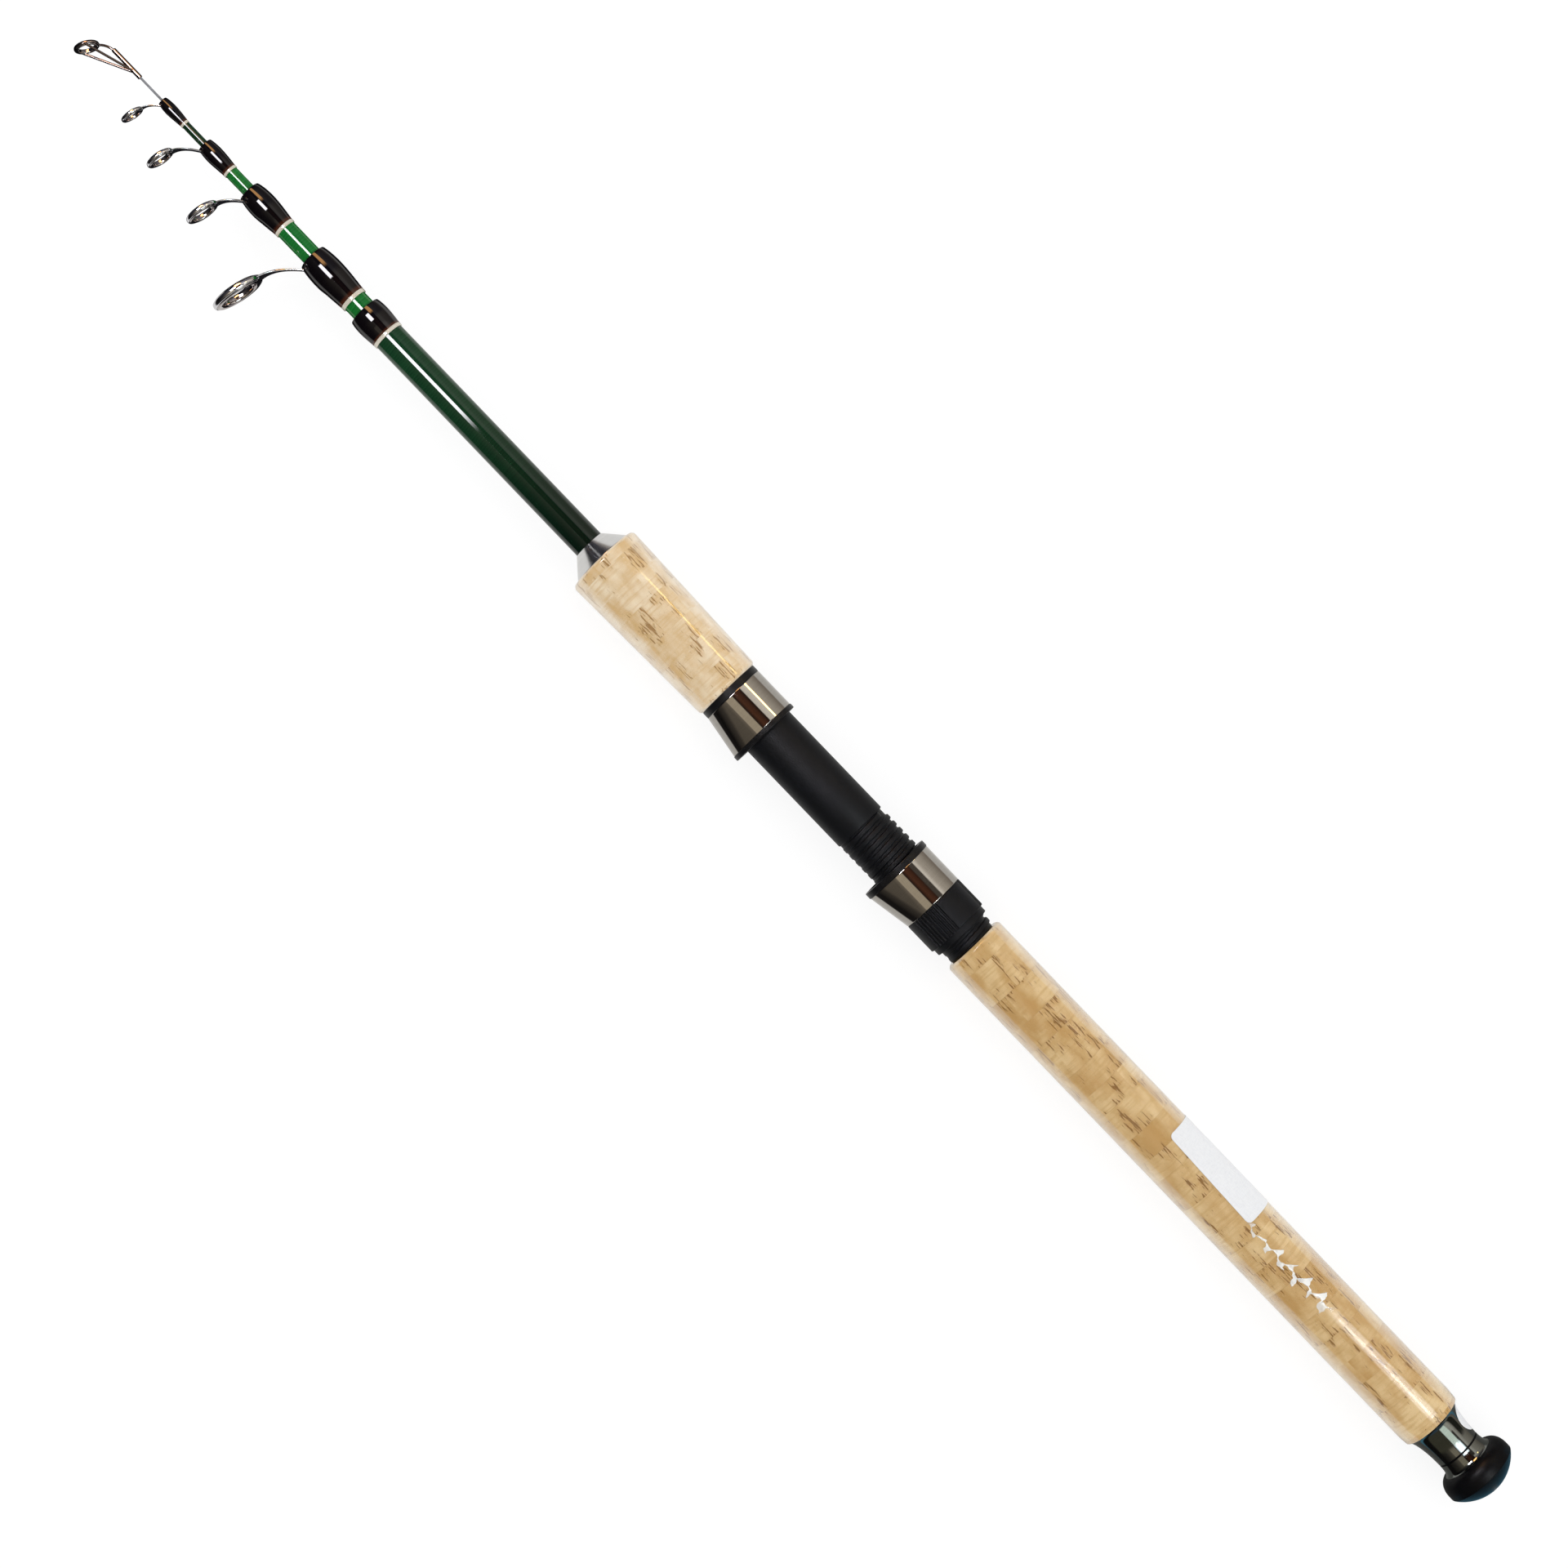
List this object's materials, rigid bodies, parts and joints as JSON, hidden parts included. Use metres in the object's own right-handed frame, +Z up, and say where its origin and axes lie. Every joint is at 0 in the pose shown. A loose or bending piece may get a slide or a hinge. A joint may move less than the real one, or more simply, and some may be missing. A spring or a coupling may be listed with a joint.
{
  "type": "telescopic fishing rod",
  "caption": "Telescopic spinning rod with nested tapered sections that slide out, a line guide on each, cork grips, a screw-down reel seat and a screw-on butt cap with a rubber button.",
  "frame": {"origin": "middle of the flat on the rubber butt button, on the rod axis", "axes": "+X along the rod from the butt to the tip, +Y towards the line guides and the reel foot, +Z up as the rod lies on its side"},
  "size_m": [0.7684, 0.0566, 0.0314],
  "materials": {
    "green_lacquer": "clear-lacquered green blank",
    "dark_lacquer": "lacquered black-brown whipping",
    "trim_thread": "lacquered cream trim thread",
    "grey_tip": "satin grey solid tip",
    "guide_metal": "polished stamped steel",
    "ring_insert": "hard chromed wear ring",
    "smoked_chrome": "smoked bright plating",
    "bright_plate": "bright plating",
    "black_plastic": "moulded black",
    "cork_cream": "fine pale cork",
    "cork_tan": "pieced tan cork with pits",
    "clear_film": "clear shrink film",
    "black_rubber": "satin moulded rubber",
    "fibre": "plain wound fibre"
  },
  "bodies": {
    "handle": {"base_blank": "green_lacquer", "base_whipping": "dark_lacquer", "base_trim_band": "trim_thread", "winding_check": "bright_plate", "fore_grip": "cork_cream", "fore_grip_film": "clear_film", "seat_washer": "black_plastic", "front_hood_shell": "smoked_chrome", "front_hood_liner": "black_plastic", "seat_barrel": "black_plastic", "seat_arbors": "fibre", "rear_grip": "cork_tan", "rear_grip_film": "clear_film", "butt_collar": "smoked_chrome"},
    "section_2": {"section_2_blank": "green_lacquer", "section_2_whipping": "dark_lacquer", "section_2_trim_band": "trim_thread", "section_2_guide_frame": "guide_metal", "section_2_guide_ring": "ring_insert"},
    "section_3": {"section_3_blank": "green_lacquer", "section_3_whipping": "dark_lacquer", "section_3_trim_band": "trim_thread", "section_3_guide_frame": "guide_metal", "section_3_guide_ring": "ring_insert"},
    "section_4": {"section_4_blank": "green_lacquer", "section_4_whipping": "dark_lacquer", "section_4_trim_band": "trim_thread", "section_4_guide_frame": "guide_metal", "section_4_guide_ring": "ring_insert"},
    "section_5": {"section_5_blank": "green_lacquer", "section_5_whipping": "dark_lacquer", "section_5_trim_band": "trim_thread", "section_5_guide_frame": "guide_metal", "section_5_guide_ring": "ring_insert"},
    "tip_section": {"tip_blank": "grey_tip", "tip_top_frame": "guide_metal", "tip_top_ring": "ring_insert"},
    "sliding_hood": {"sliding_hood_shell": "smoked_chrome", "sliding_hood_liner": "black_plastic"},
    "lock_nut": {"lock_nut": "black_plastic"},
    "butt_seal": {"butt_seal": "black_rubber"},
    "butt_cap": {"butt_cap": "smoked_chrome", "butt_button": "black_rubber", "butt_pad": "black_rubber"}
  },
  "joints": [
    {"name": "section_2_slide", "type": "slide", "parent": "handle", "child": "section_2", "axis": [1, 0, 0], "range_m": [0, 0.5081]},
    {"name": "section_3_slide", "type": "slide", "parent": "section_2", "child": "section_3", "axis": [1, 0, 0], "range_m": [0, 0.5367]},
    {"name": "section_4_slide", "type": "slide", "parent": "section_3", "child": "section_4", "axis": [1, 0, 0], "range_m": [0, 0.5714]},
    {"name": "section_5_slide", "type": "slide", "parent": "section_4", "child": "section_5", "axis": [1, 0, 0], "range_m": [0, 0.5959]},
    {"name": "tip_slide", "type": "slide", "parent": "section_5", "child": "tip_section", "axis": [1, 0, 0], "range_m": [0, 0.6192]},
    {"name": "hood_slide", "type": "slide", "parent": "handle", "child": "sliding_hood", "axis": [1, 0, 0], "range_m": [-0.0051, 0.034]},
    {"name": "nut_turn", "type": "hinge", "parent": "sliding_hood", "child": "lock_nut", "pos_m": [0.302, 0, 0], "axis": [1, 0, 0], "range_deg": [-540, 3600]},
    {"name": "cap_withdraw", "type": "slide", "parent": "handle", "child": "butt_seal", "axis": [-1, 0, 0], "range_m": [0, 0.00825]},
    {"name": "cap_turn", "type": "hinge", "parent": "butt_seal", "child": "butt_cap", "pos_m": [0.0125, 0, 0], "axis": [-1, 0, 0], "range_deg": [0, 1980]}
  ],
  "couplings": [
    {"joint": "hood_slide", "follows": "nut_turn", "m_per_rad": 0.00054113},
    {"joint": "cap_withdraw", "follows": "cap_turn", "m_per_rad": 0.00023873}
  ]
}
